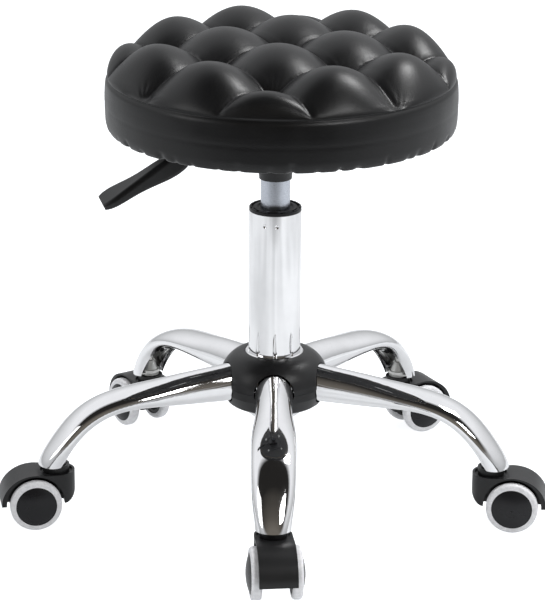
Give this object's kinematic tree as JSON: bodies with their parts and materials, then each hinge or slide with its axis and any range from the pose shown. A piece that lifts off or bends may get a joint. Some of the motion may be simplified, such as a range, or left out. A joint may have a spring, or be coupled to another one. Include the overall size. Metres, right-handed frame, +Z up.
{
  "type": "adjustable swivel stool",
  "caption": "Swivel stool with a round tufted seat, lever-released gas lift column, chrome star base with bent tube arms and twin-wheel casters.",
  "frame": {"origin": "on the floor, under the axis of the gas lift column", "axes": "+Z up along the column axis; -Y is the front, towards one arm of the star base; +X to the right, the lever is on the left"},
  "size_m": [0.527, 0.5047, 0.4685],
  "materials": {
    "chrome": "bright chrome plate on steel tube",
    "satin_steel": "satin drawn steel, bluish grey",
    "zinc_steel": "zinc-plated steel",
    "black_steel": "black powder coat",
    "black_plastic": "satin black moulded nylon",
    "disc_plastic": "semi-gloss black moulded nylon",
    "bush_plastic": "black acetal",
    "grey_tread": "soft light grey polyurethane",
    "rubber": "black rubber",
    "black_leather": "semi-gloss black artificial leather",
    "foam": "upholstery foam",
    "plywood": "unfinished plywood",
    "dust_cloth": "black non-woven cloth"
  },
  "bodies": {
    "base": {"arm_1": "chrome", "arm_2": "chrome", "arm_3": "chrome", "arm_4": "chrome", "arm_5": "chrome", "socket_cups": "zinc_steel", "caster_stems": "zinc_steel", "hub_core": "chrome", "hub_cover_upper": "black_plastic", "hub_cover_lower": "black_plastic", "outer_tube": "chrome", "tube_plate": "zinc_steel", "guide_bush": "bush_plastic", "thrust_bearing": "zinc_steel"},
    "spindle": {"piston_rod": "satin_steel", "rod_clip": "zinc_steel", "piston": "bush_plastic", "rubber_bumper": "rubber"},
    "seat": {"gas_cylinder": "satin_steel", "seat_plate": "black_steel", "seat_bolts": "zinc_steel", "tee_nuts": "zinc_steel", "seat_board": "plywood", "dust_cover": "dust_cloth", "staples": "zinc_steel", "seat_foam": "foam", "seat_cover": "black_leather"},
    "lever": {"lever_rod": "black_steel", "lever_paddle": "black_plastic"},
    "release_pin": {"release_pin": "zinc_steel"},
    "caster_1": {"caster_hood_1": "black_plastic", "axle_1": "zinc_steel"},
    "wheel_1_left": {"wheel_1_left": "disc_plastic", "tyre_1_left": "grey_tread"},
    "wheel_1_right": {"wheel_1_right": "disc_plastic", "tyre_1_right": "grey_tread"},
    "caster_2": {"caster_hood_2": "black_plastic", "axle_2": "zinc_steel"},
    "wheel_2_left": {"wheel_2_left": "disc_plastic", "tyre_2_left": "grey_tread"},
    "wheel_2_right": {"wheel_2_right": "disc_plastic", "tyre_2_right": "grey_tread"},
    "caster_3": {"caster_hood_3": "black_plastic", "axle_3": "zinc_steel"},
    "wheel_3_left": {"wheel_3_left": "disc_plastic", "tyre_3_left": "grey_tread"},
    "wheel_3_right": {"wheel_3_right": "disc_plastic", "tyre_3_right": "grey_tread"},
    "caster_4": {"caster_hood_4": "black_plastic", "axle_4": "zinc_steel"},
    "wheel_4_left": {"wheel_4_left": "disc_plastic", "tyre_4_left": "grey_tread"},
    "wheel_4_right": {"wheel_4_right": "disc_plastic", "tyre_4_right": "grey_tread"},
    "caster_5": {"caster_hood_5": "black_plastic", "axle_5": "zinc_steel"},
    "wheel_5_left": {"wheel_5_left": "disc_plastic", "tyre_5_left": "grey_tread"},
    "wheel_5_right": {"wheel_5_right": "disc_plastic", "tyre_5_right": "grey_tread"}
  },
  "joints": [
    {"name": "seat_swivel", "type": "hinge", "parent": "base", "child": "spindle", "pos_m": [0, 0, 0.1], "axis": [0, 0, 1], "continuous": true},
    {"name": "seat_height", "type": "slide", "parent": "spindle", "child": "seat", "axis": [0, 0, 1], "range_m": [0, 0.115]},
    {"name": "lever_lift", "type": "hinge", "parent": "seat", "child": "lever", "pos_m": [-0.02348, -0.00499, 0.3603], "axis": [-0.2079, 0.9781, 0], "range_deg": [0, 7], "stiffness_Nm_per_rad": 0.6, "springref_deg": -5.73},
    {"name": "pin_press", "type": "slide", "parent": "seat", "child": "release_pin", "axis": [0, 0, -1], "range_m": [0, 0.003]},
    {"name": "caster_1_swivel", "type": "hinge", "parent": "base", "child": "caster_1", "pos_m": [0, -0.218, 0.045], "axis": [0, 0, 1], "continuous": true},
    {"name": "wheel_1_left_spin", "type": "hinge", "parent": "caster_1", "child": "wheel_1_left", "pos_m": [0.02078, -0.23774, 0.0248], "axis": [0.9945, 0.1045, 0], "continuous": true},
    {"name": "wheel_1_right_spin", "type": "hinge", "parent": "caster_1", "child": "wheel_1_right", "pos_m": [-0.01622, -0.24163, 0.0248], "axis": [0.9945, 0.1045, 0], "continuous": true},
    {"name": "caster_2_swivel", "type": "hinge", "parent": "base", "child": "caster_2", "pos_m": [0.20733, -0.06737, 0.045], "axis": [0, 0, 1], "continuous": true},
    {"name": "wheel_2_left_spin", "type": "hinge", "parent": "caster_2", "child": "wheel_2_left", "pos_m": [0.23123, -0.05156, 0.0248], "axis": [0.1219, 0.9925, 0], "continuous": true},
    {"name": "wheel_2_right_spin", "type": "hinge", "parent": "caster_2", "child": "wheel_2_right", "pos_m": [0.2267, -0.08848, 0.0248], "axis": [0.1219, 0.9925, 0], "continuous": true},
    {"name": "caster_3_swivel", "type": "hinge", "parent": "base", "child": "caster_3", "pos_m": [0.12814, 0.17637, 0.045], "axis": [0, 0, 1], "continuous": true},
    {"name": "wheel_3_left_spin", "type": "hinge", "parent": "caster_3", "child": "wheel_3_left", "pos_m": [0.13865, 0.20302, 0.0248], "axis": [-0.4695, 0.8829, 0], "continuous": true},
    {"name": "wheel_3_right_spin", "type": "hinge", "parent": "caster_3", "child": "wheel_3_right", "pos_m": [0.15612, 0.17018, 0.0248], "axis": [-0.4695, 0.8829, 0], "continuous": true},
    {"name": "caster_4_swivel", "type": "hinge", "parent": "base", "child": "caster_4", "pos_m": [-0.12814, 0.17637, 0.045], "axis": [0, 0, 1], "continuous": true},
    {"name": "wheel_4_left_spin", "type": "hinge", "parent": "caster_4", "child": "wheel_4_left", "pos_m": [-0.15575, 0.18404, 0.0248], "axis": [-0.829, -0.5592, 0], "continuous": true},
    {"name": "wheel_4_right_spin", "type": "hinge", "parent": "caster_4", "child": "wheel_4_right", "pos_m": [-0.12491, 0.20484, 0.0248], "axis": [-0.829, -0.5592, 0], "continuous": true},
    {"name": "caster_5_swivel", "type": "hinge", "parent": "base", "child": "caster_5", "pos_m": [-0.20733, -0.06737, 0.045], "axis": [0, 0, 1], "continuous": true},
    {"name": "wheel_5_left_spin", "type": "hinge", "parent": "caster_5", "child": "wheel_5_left", "pos_m": [-0.22518, -0.08978, 0.0248], "axis": [0.1908, -0.9816, 0], "continuous": true},
    {"name": "wheel_5_right_spin", "type": "hinge", "parent": "caster_5", "child": "wheel_5_right", "pos_m": [-0.23228, -0.05327, 0.0248], "axis": [0.1908, -0.9816, 0], "continuous": true}
  ],
  "couplings": [
    {"joint": "pin_press", "follows": "lever_lift", "m_per_rad": 0.024}
  ]
}
